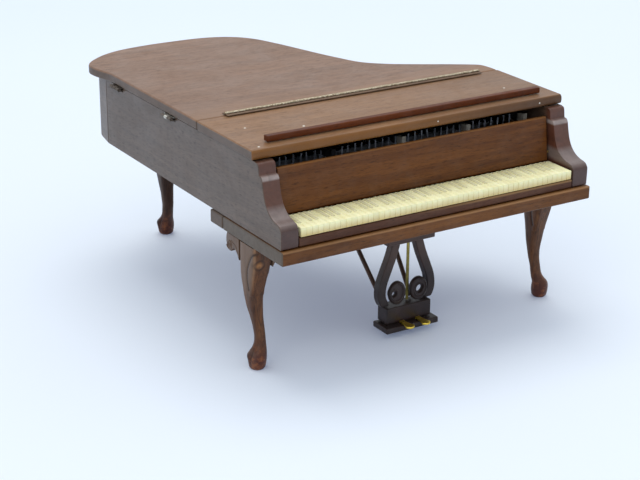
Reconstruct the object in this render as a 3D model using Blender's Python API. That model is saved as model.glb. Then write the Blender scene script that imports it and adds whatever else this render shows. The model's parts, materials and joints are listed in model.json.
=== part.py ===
"""Miniature grand piano at one twelfth scale, modelled in metres with +Z up.

X runs from bass (-) to treble (+), Y from the player towards the tail, and Z = 0 is the floor.
Lengths along Y are measured from the front face of the key bed until centre_on_floor moves the
whole piano over the origin.
"""

import math

import bmesh
import bpy
import numpy as np
from mathutils import Vector

MM = 0.001
GAP = 0.25 * MM

# Heights
BED_BOTTOM = 41.0 * MM
BED_TOP = 45.35 * MM
CASE_BOTTOM = 45.6 * MM
CASE_TOP = 68.65 * MM
LID_BOTTOM = 68.9 * MM
LID_TOP = 72.0 * MM

# Key bed, leg rail and keyboard
BED_HALF = 58.2 * MM
BED_DEPTH = 36.2 * MM
RAIL_BACK = 44.4 * MM
KEYS_HALF = 50.9 * MM
KEYS_FRONT = 1.3 * MM
KEYS_BACK = 12.9 * MM
KEYS_BOTTOM = 48.6 * MM
KEYS_TOP = 51.5 * MM
WHITE_KEYS = 52
FIRST_OCTAVE = 2
OCTAVE = 7
KEYS_WITHOUT_SHARP = {2, 6}
SHARP_RISE = 0.3 * MM
SHARP_FRONT = 5.4 * MM
SHARP_BACK = 12.6 * MM
SHARP_WIDTH = 0.95 * MM

# Case
CASE_HALF = 57.7 * MM
ARM_INSIDE = 51.7 * MM
SPINE_END = 119.8 * MM
TREBLE_END = 55.8 * MM
WALL = 4.5 * MM
BOARD = 2.0 * MM
INSET_SIDE = 0.6 * MM
INSET_TAIL = 2.4 * MM
FLOOR_INSET = 7.3 * MM
BOARD_FRONT = 15.5 * MM

# Front edge of an arm as (y, z): upright, a small roll, then a hollow sweep up to the lid
ARM_FRONT = (
    (1.4, 45.6), (1.3, 50.7), (1.6, 51.8), (2.4, 52.7), (3.6, 53.1), (5.6, 53.5), (7.8, 54.5),
    (9.7, 56.2), (11.0, 58.5), (11.8, 61.2), (12.4, 64.0), (13.1, 64.9), (14.2, 65.1),
    (14.5, 67.4), (14.9, 68.3), (15.8, 68.65),
)

# Lid
LID_HALF = 58.3 * MM
FLAP_FRONT = 16.9 * MM
SEAM = 52.0 * MM
SEAM_GAP = 0.4 * MM
# Plan of the lid behind the straight treble edge, round the tail to the spine
LID_CURVE = (
    (58.3, 55.0), (57.4, 59.8), (54.0, 62.7), (46.9, 67.2), (36.4, 73.4), (29.6, 78.0),
    (23.4, 84.2), (19.8, 92.8), (16.9, 101.4), (14.4, 110.0), (11.0, 121.2), (7.0, 131.2),
    (1.0, 137.8), (-8.5, 141.7), (-22.0, 142.8), (-33.0, 142.6), (-43.0, 141.1),
    (-50.6, 137.9), (-56.8, 133.2), (-59.8, 129.2), (-60.4, 125.6), (-59.7, 120.6),
    (-58.3, 114.2),
)
# The same for the case, which is rounder at its bass corner and is set in from this line
RIM_CURVE = (
    (58.3, 55.0), (57.4, 59.8), (54.0, 62.7), (46.9, 67.2), (36.4, 73.4), (28.6, 78.4),
    (23.4, 84.2), (20.0, 92.6), (16.9, 102.0), (14.0, 112.0), (11.0, 121.5), (7.2, 131.0),
    (1.0, 137.9), (-8.5, 141.7), (-22.0, 142.8), (-38.0, 142.2), (-49.5, 139.0),
    (-56.2, 132.4), (-58.3, 122.0),
)
CURVE_STEPS = 5
LEDGE = ((-50.7, 21.2), (52.4, 23.6))
LEDGE_TOP = 74.15 * MM

# Fallboard
FALL_HALF = 50.8 * MM
FALL_PIVOT_Y = 14.75 * MM
FALL_PIVOT_Z = 54.1 * MM
FALL_BELOW = 2.2 * MM
FALL_ABOVE = 11.9 * MM
FALL_THICK = 1.8 * MM
FALL_LEAN = math.radians(7.0)
FALL_PIN = 0.45 * MM
FALL_PIN_LENGTH = 2.6 * MM
PIN_CLEARANCE = 0.05 * MM

# Spine hinges and the long hinge of the flap
SPINE_HINGES = (71.4 * MM, 110.0 * MM)
SPINE_AXIS_X = -59.0 * MM
SPINE_AXIS_Z = 68.08 * MM
SPINE_KNUCKLE = 0.62 * MM
SPINE_HINGE_HALF = 3.2 * MM
NOTCH_HALF = 3.6 * MM
NOTCH_DEPTH = 1.45 * MM
LONG_HINGE = (-48.3 * MM, 50.4 * MM)
LONG_HINGE_Z = 72.72 * MM
LONG_KNUCKLE = 0.5 * MM
LONG_KNUCKLES = 14
LONG_LEAF_WIDTH = 1.25 * MM

# Lid prop
PROP_X = 46.0 * MM
PROP_Y = 52.0 * MM
PROP_Z = 61.9 * MM
PROP_LENGTH = 33.4 * MM
PROP_THICK = 1.4 * MM
PROP_CUP = (50.1 * MM, 43.2 * MM)
PROP_CUP_TALL = 3.6 * MM

# Inside
SOUNDBOARD = (50.6 * MM, 51.8 * MM)
PLATE = (52.05 * MM, 53.5 * MM)
PLATE_INSET = 10.0 * MM
PIN_BLOCK = (-50.9, 19.0, 50.6, 46.0, 33.0, 57.5)
PIN_ROW_Y = 26.0 * MM
PINS = 38
PIN_TOP = 64.2 * MM
STRINGS = 27
STRINGS_HALF = 43.0 * MM
STRING_Z = 59.4 * MM
STRING_WIDTH = 0.35 * MM
PIN_ROW = (-49.0 * MM, 44.0 * MM)
PIN_STRIP = (-49.9 * MM, 44.8 * MM)
PIN_STRIP_HALF = 0.6 * MM
PIN_RADIUS = 0.25 * MM
PLATE_FRONT = 34.0 * MM
PLATE_HALF = 48.0 * MM
SLOT_FRONT = 42.0 * MM
SLOT_HALF = 5.0 * MM
# Openings in the harp plate as (centre x, back y)
SLOTS = ((-41.0, 118.0), (-24.0, 122.0), (-7.0, 112.0), (10.0, 84.0), (27.0, 62.0))
STRUTS = ((-25.0, 126.0), (1.3, 110.0), (26.6, 62.0), (49.8, 48.5))
STRUT_WIDTH = 1.5 * MM

# Legs: (height, offset outwards, offset backwards, half width, half depth, squareness)
FRONT_LEG_SECTIONS = (
    (0.0, 0.9, -2.1, 2.0, 2.0, 2.0), (0.6, 0.9, -2.1, 2.55, 2.55, 2.0),
    (2.0, 0.9, -2.1, 2.85, 2.85, 2.0), (4.0, 0.85, -2.3, 2.9, 2.9, 2.0),
    (5.5, 0.7, -2.5, 2.65, 2.65, 2.0), (7.0, -0.1, -1.9, 2.15, 2.2, 2.0),
    (8.5, -0.5, -1.5, 1.8, 1.85, 2.05), (10.8, -0.65, -1.1, 1.7, 1.75, 2.2),
    (13.7, -0.65, -0.1, 1.75, 1.85, 2.4), (16.5, -0.45, 0.6, 1.9, 2.1, 2.7),
    (19.4, -0.15, 1.05, 2.2, 2.6, 3.0), (22.4, 0.1, 1.2, 2.35, 3.0, 3.4),
    (25.6, 0.2, 1.2, 2.5, 3.5, 3.8), (28.8, 0.2, 1.0, 2.7, 4.2, 4.4),
    (32.3, 0.1, 0.5, 3.0, 4.8, 5.0), (36.0, 0.0, 0.1, 3.15, 5.0, 6.0),
    (40.75, 0.0, 0.0, 3.15, 5.0, 6.0),
)
REAR_LEG_SECTIONS = (
    (0.0, 0.6, 3.2, 2.1, 2.1, 2.0), (0.6, 0.6, 3.2, 2.65, 2.65, 2.0),
    (2.2, 0.6, 3.2, 3.0, 3.0, 2.0), (4.2, 0.6, 3.0, 3.0, 3.0, 2.0),
    (5.4, 0.5, 2.6, 2.75, 2.75, 2.0), (6.6, 0.3, 1.7, 2.35, 2.35, 2.0),
    (8.9, 0.1, 0.4, 2.0, 2.0, 2.1), (12.8, 0.0, -0.2, 2.0, 2.0, 2.4),
    (16.6, 0.0, 0.2, 2.15, 2.15, 2.8), (20.3, 0.0, 0.8, 2.45, 2.5, 3.2),
    (24.5, 0.0, 1.0, 2.95, 3.0, 3.8), (30.0, 0.0, 0.8, 3.5, 3.5, 4.6),
    (36.0, 0.0, 0.2, 3.9, 3.9, 6.0), (45.35, 0.0, 0.0, 3.9, 3.9, 6.0),
)
LEG_SIDES = 24
FRONT_LEG = (54.75, 21.8)
FRONT_LEG_HALF = (3.15 * MM, 5.0 * MM)
REAR_LEG = (-27.9, 135.4)
REAR_LEG_HALF = 3.9 * MM
EAR_THICK = 2.8 * MM
# Outline of a knee ear: (away from the leg, down from the top), with a scroll at its tip
EAR = (
    (0.0, 0.0), (7.4, 0.0), (7.9, -1.5), (7.8, -3.4), (7.1, -4.9), (5.8, -5.6), (4.5, -5.3),
    (3.9, -4.4), (2.6, -4.2), (1.1, -5.2), (0.0, -7.0),
)
EAR_EYE = (6.0, -3.9)
EAR_EYE_RADIUS = 0.5 * MM

# Lyre
LYRE_X = -0.5 * MM
LYRE_Y = 20.0 * MM
LYRE_BLOCK = (-9.9, 16.0, 32.1, 8.3, 24.0, 40.75)
LYRE_BASE = (-9.1, 17.0, 4.65, 8.1, 22.6, 10.15)
LYRE_FOOT = (-10.6, 14.6, 2.4, 9.6, 22.9, 4.4)
POST_LINE = ((4.2, 31.85), (5.9, 26.5), (7.9, 21.5), (9.3, 17.5), (9.5, 13.6), (8.1, 10.4))
POST_WIDTH = 3.0 * MM
POST_DEPTH = 3.0 * MM
# Scrolls as (name, centre x, centre z, radius along x, radius along z, eye x, eye radius)
SCROLLS = (
    ("bass", -4.6, 14.6, 3.15, 4.0, -6.0, 0.85),
    ("treble", 3.7, 14.6, 3.3, 4.0, 3.9, 1.3),
)
SCROLL_DEPTH = (17.4 * MM, 19.4 * MM)
PEDAL_X = 3.1 * MM
PEDAL_BACK = 16.75 * MM
PEDAL_FRONT = 10.4 * MM
PEDAL_THICK = 0.7 * MM
ROD_X = 0.9 * MM
ROD_RADIUS = 0.5 * MM
BRACE_RADIUS = 0.75 * MM
BRACES = (
    ("bass", (-8.35, 23.2, 13.2), (-10.6, 52.4, 44.3)),
    ("treble", (2.8, 21.2, 11.1), (7.0, 52.4, 44.3)),
)


def material(name, colour, roughness, metallic=0.0):
    made = bpy.data.materials.new(name)
    made.use_nodes = True
    shader = made.node_tree.nodes["Principled BSDF"]
    shader.inputs["Base Color"].default_value = (*colour, 1.0)
    shader.inputs["Roughness"].default_value = roughness
    shader.inputs["Metallic"].default_value = metallic
    return made


WALNUT = ((0.21, 0.095, 0.045), 0.45)
DARK_WALNUT = ((0.12, 0.055, 0.035), 0.45)
EBONISED = ((0.035, 0.025, 0.025), 0.4)
CREAM = ((0.86, 0.82, 0.58), 0.4)
SPRUCE = ((0.42, 0.26, 0.12), 0.6)
BRASS = ((0.72, 0.55, 0.22), 0.35, 1.0)
STEEL = ((0.5, 0.52, 0.55), 0.35, 1.0)
BLACK_IRON = ((0.03, 0.03, 0.035), 0.5, 0.4)


def finish(bm, name, look, smooth=False):
    """Turns a bmesh into a named object that has its own material."""
    bmesh.ops.recalc_face_normals(bm, faces=bm.faces)
    mesh = bpy.data.meshes.new(name)
    bm.to_mesh(mesh)
    bm.free()
    if smooth:
        mesh.shade_smooth()
    made = bpy.data.objects.new(name, mesh)
    made.data.materials.append(material(name, *look))
    bpy.context.collection.objects.link(made)
    return made


def add_box(bm, corners):
    """Adds a box given as two opposite corners in millimetres."""
    low = Vector(corners[:3]) * MM
    high = Vector(corners[3:]) * MM
    made = bmesh.ops.create_cube(bm, size=1.0)["verts"]
    bmesh.ops.scale(bm, vec=high - low, verts=made)
    bmesh.ops.translate(bm, vec=(low + high) / 2, verts=made)


def add_plate(bm, loops, low, high, place):
    """Fills the first loop, leaving the others as holes, and extrudes it from low to high.

    place(u, v, w) gives the position of loop point (u, v) at extrusion height w.
    """
    edges = []
    for loop in loops:
        corners = [bm.verts.new(place(u, v, low)) for u, v in loop]
        for first, second in zip(corners, corners[1:] + corners[:1]):
            edges.append(bm.edges.new((first, second)))
    filled = bmesh.ops.triangle_fill(bm, edges=edges, use_beauty=True)["geom"]
    faces = [item for item in filled if isinstance(item, bmesh.types.BMFace)]
    raised = bmesh.ops.extrude_face_region(bm, geom=faces)["geom"]
    verts = [item for item in raised if isinstance(item, bmesh.types.BMVert)]
    step = Vector(place(0, 0, high)) - Vector(place(0, 0, low))
    bmesh.ops.translate(bm, vec=step, verts=verts)


def flat(u, v, w):
    return (u, v, w)


def across(u, v, w):
    return (w, u, v)


def along(u, v, w):
    return (u, w, v)


def plate(name, look, loops, low, high, place=flat):
    bm = bmesh.new()
    add_plate(bm, loops, low, high, place)
    return finish(bm, name, look)


def box(name, look, corners, bevel=0.0):
    bm = bmesh.new()
    add_box(bm, corners)
    made = finish(bm, name, look)
    if bevel:
        edge = made.modifiers.new("edge", "BEVEL")
        edge.width = bevel
        edge.segments = 3
    return made


def add_rod(bm, start, end, radius, sides=16):
    start = Vector(start)
    run = Vector(end) - start
    made = bmesh.ops.create_cone(
        bm, cap_ends=True, segments=sides, radius1=radius, radius2=radius, depth=run.length
    )["verts"]
    turn = Vector((0, 0, 1)).rotation_difference(run).to_matrix()
    bmesh.ops.rotate(bm, cent=(0, 0, 0), matrix=turn, verts=made)
    bmesh.ops.translate(bm, vec=start + run / 2, verts=made)


def rod(name, look, start, end, radius, sides=16):
    bm = bmesh.new()
    add_rod(bm, start, end, radius, sides)
    made = finish(bm, name, look, smooth=True)
    made.data.set_sharp_from_angle(angle=math.radians(40))
    return made


def ring(u, v, radius, count=20):
    angles = [2 * math.pi * step / count for step in range(count)]
    return [(u + radius * math.cos(a), v + radius * math.sin(a)) for a in angles]


def rectangle(u0, v0, u1, v1):
    return [(u0, v0), (u1, v0), (u1, v1), (u0, v1)]


def boolean(target, helper, operation):
    """Cuts the helper from the target, or welds it on, and keeps the helper out of renders."""
    helper.hide_render = True
    helper.display_type = "WIRE"
    step = target.modifiers.new(operation.lower(), "BOOLEAN")
    step.operation = operation
    step.solver = "EXACT"
    step.object = helper


def set_origin(made, point):
    """Moves the object's origin without moving its mesh in the world."""
    point = Vector(point)
    for vertex in made.data.vertices:
        vertex.co -= point
    made.location = point


def spline(points, steps):
    """Catmull-Rom curve through the points, in metres."""
    knots = np.array(points, float) * MM
    knots = np.vstack([2 * knots[0] - knots[1], knots, 2 * knots[-1] - knots[-2]])
    curve = []
    for index in range(1, len(knots) - 2):
        before, first, second, after = knots[index - 1 : index + 3]
        for t in np.arange(steps) / steps:
            curve.append(
                0.5
                * (
                    2 * first
                    + (second - before) * t
                    + (2 * before - 5 * first + 4 * second - after) * t**2
                    + (3 * first - before - 3 * second + after) * t**3
                )
            )
    curve.append(knots[-2])
    return np.array(curve)


def inset(curve, distance):
    """Moves each point of the curve to its left by distance, a number or one per point."""
    tangent = np.gradient(curve, axis=0)
    tangent /= np.linalg.norm(tangent, axis=1)[:, None]
    left = np.stack([-tangent[:, 1], tangent[:, 0]], axis=1)
    return curve + left * np.reshape(distance, (-1, 1))


def outer_inset(curve):
    """How far the case stands inside the lid: little at the sides and more round the tail."""
    t = np.linspace(0, 1, len(curve))
    return INSET_SIDE + (INSET_TAIL - INSET_SIDE) * np.sqrt(np.sin(np.pi * t).clip(0))


def bed_and_keys():
    edge = 0.5 * MM
    half = BED_HALF / MM
    low = BED_BOTTOM / MM
    high = BED_TOP / MM
    depth = BED_DEPTH / MM
    back = RAIL_BACK / MM
    gap = GAP / MM
    box("key_bed", WALNUT, (-half, 0, low, half, depth, high), edge)
    box("leg_rail", DARK_WALNUT, (-half, depth + gap, low, half, back, high), edge)
    inside = (ARM_INSIDE - GAP) / MM
    slip_top = (KEYS_BOTTOM - GAP) / MM
    slip = (-inside, 1.4, CASE_BOTTOM / MM, inside, 12.6, slip_top)
    box("key_slip", DARK_WALNUT, slip, 0.3 * MM)
    keyboard()


def sharps():
    """x positions of the black keys: one after the lowest key, then groups of two and three."""
    width = 2 * KEYS_HALF / WHITE_KEYS
    found = []
    for white in range(WHITE_KEYS - 2):
        place = (white - FIRST_OCTAVE) % OCTAVE
        if place not in KEYS_WITHOUT_SHARP:
            found.append(-KEYS_HALF + (white + 1) * width)
    return found


def keyboard():
    """One moulded strip with a rounded front edge and raised sharps."""
    front = [(KEYS_FRONT, KEYS_BOTTOM), (KEYS_FRONT, KEYS_TOP - 0.6 * MM)]
    front += [(KEYS_FRONT + 0.2 * MM, KEYS_TOP - 0.15 * MM), (KEYS_FRONT + 0.6 * MM, KEYS_TOP)]
    profile = front + [(KEYS_BACK, KEYS_TOP), (KEYS_BACK, KEYS_BOTTOM)]
    strip = plate("keyboard", CREAM, [profile], -KEYS_HALF, KEYS_HALF, across)
    bm = bmesh.new()
    for x in sharps():
        near = x - SHARP_WIDTH / 2
        far = x + SHARP_WIDTH / 2
        low = KEYS_TOP - SHARP_RISE
        high = KEYS_TOP + SHARP_RISE
        side = [(SHARP_FRONT, low), (SHARP_FRONT, KEYS_TOP), (SHARP_FRONT + SHARP_RISE, high)]
        side += [(SHARP_BACK, high), (SHARP_BACK, low)]
        add_plate(bm, [side], near, far, across)
    boolean(strip, finish(bm, "sharps_helper", CREAM), "UNION")


def arm_outline(back):
    """Side view of a case side: the arm's front, a level top and a square back."""
    front = [(y * MM, z * MM) for y, z in ARM_FRONT]
    return front + [(back, CASE_TOP), (back, CASE_BOTTOM)]


def notched_spine():
    """Side view of the spine, with a notch in its top edge for each hinge."""
    front = [(y * MM, z * MM) for y, z in ARM_FRONT]
    top = []
    for centre in SPINE_HINGES:
        near = centre - NOTCH_HALF
        far = centre + NOTCH_HALF
        low = CASE_TOP - NOTCH_DEPTH
        top += [(near, CASE_TOP), (near, low), (far, low), (far, CASE_TOP)]
    return front + top + [(SPINE_END, CASE_TOP), (SPINE_END, CASE_BOTTOM)]


def drill(target, x, y, z, radius, length):
    bm = bmesh.new()
    add_rod(bm, (x - length, y, z), (x + length, y, z), radius, 24)
    boolean(target, finish(bm, target.name + "_drill", EBONISED), "DIFFERENCE")


def case():
    bass = plate("bass_side", WALNUT, [notched_spine()], -CASE_HALF, -ARM_INSIDE, across)
    treble = plate(
        "treble_side", WALNUT, [arm_outline(TREBLE_END)], ARM_INSIDE, CASE_HALF, across
    )
    bore = FALL_PIN + PIN_CLEARANCE
    for side, target in ((-1, bass), (1, treble)):
        drill(target, side * ARM_INSIDE, FALL_PIVOT_Y, FALL_PIVOT_Z, bore, 1.6 * MM)
    prop_bore = PROP_THICK / 4 + PIN_CLEARANCE
    drill(treble, ARM_INSIDE, PROP_Y, PROP_Z, prop_bore, 1.5 * MM)
    curve = spline(RIM_CURVE, CURVE_STEPS)
    outside = inset(curve, outer_inset(curve))
    inside = inset(curve, outer_inset(curve) + WALL)
    split = int(np.argmax(curve[:, 0] < -6 * MM))
    start = int(np.argmax(inside[:, 0] < 46.5 * MM))
    first = [(CASE_HALF, TREBLE_END + GAP)]
    corner = [(ARM_INSIDE, TREBLE_END + GAP)]
    bent = first + list(outside[2 : split + 1]) + list(inside[start : split + 1][::-1]) + corner
    plate("bent_side", WALNUT, [bent], CASE_BOTTOM, CASE_TOP)
    outer = list(outside[split:])
    inner = list(inside[split:])
    shift = Vector((-GAP, 0.0))
    outer[0] = tuple(Vector(outer[0]) + shift)
    inner[0] = tuple(Vector(inner[0]) + shift)
    outer[-1] = (-CASE_HALF, SPINE_END + GAP)
    inner[-1] = (-CASE_HALF + WALL, SPINE_END + GAP)
    plate("tail_rim", WALNUT, [outer + inner[::-1]], CASE_BOTTOM, CASE_TOP)


def floor_outline(distance, front, half):
    """Plan of a board that fits inside the case, distance inside the lid's edge."""
    curve = inset(spline(RIM_CURVE, CURVE_STEPS), distance)
    kept = [tuple(p) for p in curve if abs(p[0]) < half and p[1] > TREBLE_END]
    return [(-half, front), (half, front), (half, TREBLE_END)] + kept + [(-half, 117 * MM)]


def inner_boards():
    half = ARM_INSIDE - GAP
    outline = floor_outline(FLOOR_INSET, BOARD_FRONT, half)
    plate("bottom_board", DARK_WALNUT, [outline], CASE_BOTTOM, CASE_BOTTOM + BOARD)
    outline = floor_outline(FLOOR_INSET, 33.25 * MM, half)
    plate("soundboard", SPRUCE, [outline], *SOUNDBOARD)
    box("pin_block", DARK_WALNUT, PIN_BLOCK)
    outline = floor_outline(PLATE_INSET, PLATE_FRONT, PLATE_HALF)
    slots = []
    for x, back in SLOTS:
        slots.append(rectangle(x * MM - SLOT_HALF, SLOT_FRONT, x * MM + SLOT_HALF, back * MM))
    plate("harp_plate", BLACK_IRON, [outline] + slots, *PLATE)


def struts():
    """Bars over the strings, each with a foot at the pin block and one at its far end."""
    for number, (x, back) in enumerate(STRUTS, 1):
        side = [(28, 57.75), (28, 61.4), (back - 3, 61.4), (back - 3, 53.75), (back, 53.75)]
        side += [(back, 61.4), (back - 1.5, 63.4), (27, 64.0), (25, 64.6), (25, 57.75)]
        outline = [(y * MM, z * MM) for y, z in side]
        centre = x * MM
        half = STRUT_WIDTH / 2
        plate(f"strut_{number}", BLACK_IRON, [outline], centre - half, centre + half, across)


def tuning_pins():
    """A row of upright pins on a thin strip, which steps back round the foot of each strut."""
    low = PIN_BLOCK[5] * MM + GAP
    front = PIN_ROW_Y - PIN_STRIP_HALF
    back = PIN_ROW_Y + PIN_STRIP_HALF
    left, right = PIN_STRIP
    bm = bmesh.new()
    for x in np.linspace(*PIN_ROW, PINS):
        if min(abs(x - strut * MM) for strut, _ in STRUTS) > 1.4 * MM:
            add_rod(bm, (x, PIN_ROW_Y, low), (x, PIN_ROW_Y, PIN_TOP), PIN_RADIUS, 8)
    pins = finish(bm, "pins_helper", STEEL)
    crossed = [x * MM for x, _ in STRUTS if x * MM < right]
    near = [(left, front)]
    far = [(left, back)]
    for x in crossed:
        near += [(x - 1.0 * MM, front), (x - 1.0 * MM, back + 3.1 * MM)]
        near += [(x + 1.0 * MM, back + 3.1 * MM), (x + 1.0 * MM, front)]
        far += [(x - 2.2 * MM, back), (x - 2.2 * MM, back + 4.3 * MM)]
        far += [(x + 2.2 * MM, back + 4.3 * MM), (x + 2.2 * MM, back)]
    near.append((right, front))
    far.append((right, back))
    row = plate("tuning_pins", STEEL, [near + far[::-1]], low, low + 0.35 * MM)
    boolean(row, pins, "UNION")


def strings():
    """Parallel strings from a rail behind the pins to a curved rail along the case."""
    curve = spline(RIM_CURVE, CURVE_STEPS)
    near = inset(curve, 11.8 * MM)
    far = inset(curve, 10.8 * MM)
    keep = (abs(near[:, 0]) < 44.5 * MM) & (near[:, 1] > TREBLE_END)
    band = [tuple(p) for p in far[keep]] + [tuple(p) for p in near[keep][::-1]]
    rail = plate("strings", STEEL, [band], 57.0 * MM, STRING_Z + 0.4 * MM)
    middle = inset(curve, 11.3 * MM)[keep]
    bm = bmesh.new()
    for x in np.linspace(-STRINGS_HALF, STRINGS_HALF, STRINGS):
        if min(abs(x - strut * MM) for strut, _ in STRUTS) < 1.2 * MM:
            x += 1.5 * MM
        end = float(np.interp(x, middle[::-1, 0], middle[::-1, 1]))
        half = STRING_WIDTH / 2
        low = STRING_Z - half
        high = STRING_Z + half
        section = rectangle(x - half, low, x + half, high)
        add_plate(bm, [section], 35.5 * MM, end, along)
    boolean(rail, finish(bm, "strings_helper", STEEL), "UNION")
    front = box("string_rail_helper", STEEL, (-45.4, 35.0, 58.2, 45.4, 36.0, 60.2))
    boolean(rail, front, "UNION")


def fallboard():
    """A plain board that swings down over the keys on a pin at each end."""
    front = -FALL_THICK / 2
    back = FALL_THICK / 2
    below = []
    for angle in np.linspace(0, -math.pi, 7):
        below.append((back * math.cos(angle), -FALL_BELOW + back * math.sin(angle)))
    top = FALL_ABOVE
    cut = 0.3 * MM
    crown = [(front, top - cut), (front + cut, top), (back - cut, top), (back, top - cut)]
    outline = below + crown
    board = plate("fallboard", WALNUT, [outline], -FALL_HALF, FALL_HALF, across)
    board.location = (0, FALL_PIVOT_Y, FALL_PIVOT_Z)
    board.rotation_euler = (-FALL_LEAN, 0, 0)
    for side, name in ((-1, "bass"), (1, "treble")):
        start = side * (FALL_HALF + GAP)
        end = start + side * FALL_PIN_LENGTH
        end = side * min(abs(end), ARM_INSIDE + 1.3 * MM)
        pin = rod(f"fallboard_pin_{name}", BRASS, (start, 0, 0), (end, 0, 0), FALL_PIN)
        pin.location = (0, FALL_PIVOT_Y, FALL_PIVOT_Z)


def lid():
    half = LID_HALF
    front = FLAP_FRONT
    low = LID_BOTTOM
    high = LID_TOP
    back = SEAM - SEAM_GAP / 2
    nose = [(front + 0.5 * MM, low), (front + 0.1 * MM, low + 0.5 * MM), (front, low + 1.5 * MM)]
    nose += [(front + 0.1 * MM, high - 0.7 * MM), (front + 0.7 * MM, high)]
    flap = plate("front_flap", WALNUT, [nose + [(back, high), (back, low)]], -half, half, across)
    set_origin(flap, (0, SEAM, LONG_HINGE_Z))
    curve = spline(LID_CURVE, CURVE_STEPS)
    seam = SEAM + SEAM_GAP / 2
    outline = [(-half, seam), (half, seam)] + [tuple(p) for p in curve]
    main = plate("main_lid", WALNUT, [outline], low, high)
    set_origin(main, (SPINE_AXIS_X, SPINE_HINGES[0], SPINE_AXIS_Z))
    (x0, y0), (x1, y1) = LEDGE
    ledge = (x0, y0, (high + GAP) / MM, x1, y1, LEDGE_TOP / MM)
    box("music_ledge", DARK_WALNUT, ledge, 0.35 * MM)


def knuckle(u, v, radius, side, tab, reach):
    """Outline of a knuckle at (u, v): a round with a tab out to its leaf on the given side."""
    low, high = tab
    start = math.asin(high / radius)
    stop = 2 * math.pi + math.asin(low / radius)
    outline = []
    for angle in np.linspace(start, stop, 19):
        outline.append((u + side * radius * math.cos(angle), v + radius * math.sin(angle)))
    outline += [(u + side * reach, v + low), (u + side * reach, v + high)]
    return outline


def hinge_leaf(name, axis, side, tab, leaf, spans, length, place, radius, bore):
    """A leaf with bored knuckles on the given spans of its length."""
    u, v = axis
    first, last = leaf
    flat_part = rectangle(u + side * first, v + tab[0], u + side * last, v + tab[1])
    made = plate(name, BRASS, [flat_part], *length, place)
    bm = bmesh.new()
    for low, high in spans:
        loops = [knuckle(u, v, radius, side, tab, first + 0.2 * MM), ring(u, v, bore, 16)]
        add_plate(bm, loops, low, high, place)
    boolean(made, finish(bm, name + "_knuckles", BRASS), "UNION")
    return made


def spine_hinge(centre, name):
    """A butt hinge let into the spine's top edge, its knuckles outside the case."""
    bore = 0.3 * MM
    x = SPINE_AXIS_X
    z = SPINE_AXIS_Z
    half = SPINE_HINGE_HALF
    third = half / 3
    length = (centre - half, centre + half)
    ends = [(centre - half, centre - third - GAP / 2), (centre + third + GAP / 2, centre + half)]
    middle = [(centre - third + GAP / 2, centre + third - GAP / 2)]
    leaf = (0.75 * MM, 4.6 * MM)
    low = (-0.57 * MM, -0.27 * MM)
    high = (0.27 * MM, 0.57 * MM)
    start = f"spine_hinge_{name}"
    common = (length, along, SPINE_KNUCKLE, bore)
    hinge_leaf(start + "_case_leaf", (x, z), 1, low, leaf, ends, *common)
    hinge_leaf(start + "_lid_leaf", (x, z), 1, high, leaf, middle, *common)
    over = half + 0.2 * MM
    pin_ends = ((x, centre - over, z), (x, centre + over, z))
    rod(start + "_pin", BRASS, *pin_ends, bore - PIN_CLEARANCE, 12)


def long_hinge():
    """The hinge strip on top of the seam between the flap and the main lid."""
    bore = 0.27 * MM
    start, end = LONG_HINGE
    step = (end - start) / LONG_KNUCKLES
    spans = []
    for number in range(LONG_KNUCKLES):
        low = start + number * step
        spans.append((low + GAP / 2, low + step - GAP / 2))
    axis = (SEAM, LONG_HINGE_Z)
    tab = (-0.45 * MM, -0.15 * MM)
    leaf = (0.65 * MM, 0.65 * MM + LONG_LEAF_WIDTH)
    common = ((start, end), across, LONG_KNUCKLE, bore)
    hinge_leaf("flap_hinge_flap_leaf", axis, -1, tab, leaf, spans[::2], *common)
    hinge_leaf("flap_hinge_lid_leaf", axis, 1, tab, leaf, spans[1::2], *common)
    y, z = axis
    over = 0.25 * MM
    pin_ends = ((start - over, y, z), (end + over, y, z))
    rod("flap_hinge_pin", BRASS, *pin_ends, bore - PIN_CLEARANCE, 12)


def lid_prop():
    """A flat stick on the treble side that lies forward, and the cup it meets under the lid."""
    half = PROP_THICK / 2
    bore = half / 2 + PIN_CLEARANCE
    eye = [(half * math.sin(a), half * math.cos(a)) for a in np.linspace(0, math.pi, 9)]
    tip = [(-PROP_LENGTH, -half * 0.8), (-PROP_LENGTH, half * 0.8)]
    stick = plate("lid_prop", WALNUT, [eye + tip, ring(0, 0, bore, 12)], -half, half, across)
    stick.location = (PROP_X, PROP_Y, PROP_Z)
    pin_end = ARM_INSIDE + 1.3 * MM
    start = (PROP_X - half - GAP, PROP_Y, PROP_Z)
    rod("prop_pin", BRASS, start, (pin_end, PROP_Y, PROP_Z), half / 2, 12)
    x, y = PROP_CUP
    top = LID_BOTTOM - GAP
    cup = ring(x, y, 1.3 * MM, 16)
    plate("prop_cup", BRASS, [cup], top - PROP_CUP_TALL, top)


def leg(name, centre, side, sections):
    """A cabriole leg lofted from its sections: round at the foot and square at the top."""
    bm = bmesh.new()
    rings = []
    x0, y0 = centre
    for height, outwards, backwards, half_x, half_y, squareness in sections:
        section = []
        for step in range(LEG_SIDES):
            angle = 2 * math.pi * (step + 0.5) / LEG_SIDES
            cos, sin = math.cos(angle), math.sin(angle)
            reach = (abs(cos) ** squareness + abs(sin) ** squareness) ** (-1 / squareness)
            x = x0 + side * outwards + half_x * reach * cos
            y = y0 + backwards + half_y * reach * sin
            section.append(bm.verts.new(Vector((x, y, height)) * MM))
        rings.append(section)
    for lower, upper in zip(rings, rings[1:]):
        for step in range(LEG_SIDES):
            after = (step + 1) % LEG_SIDES
            bm.faces.new((lower[step], lower[after], upper[after], upper[step]))
    bm.faces.new(rings[0][::-1])
    bm.faces.new(rings[-1])
    made = finish(bm, name, WALNUT, smooth=True)
    made.data.set_sharp_from_angle(angle=math.radians(50))


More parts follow.
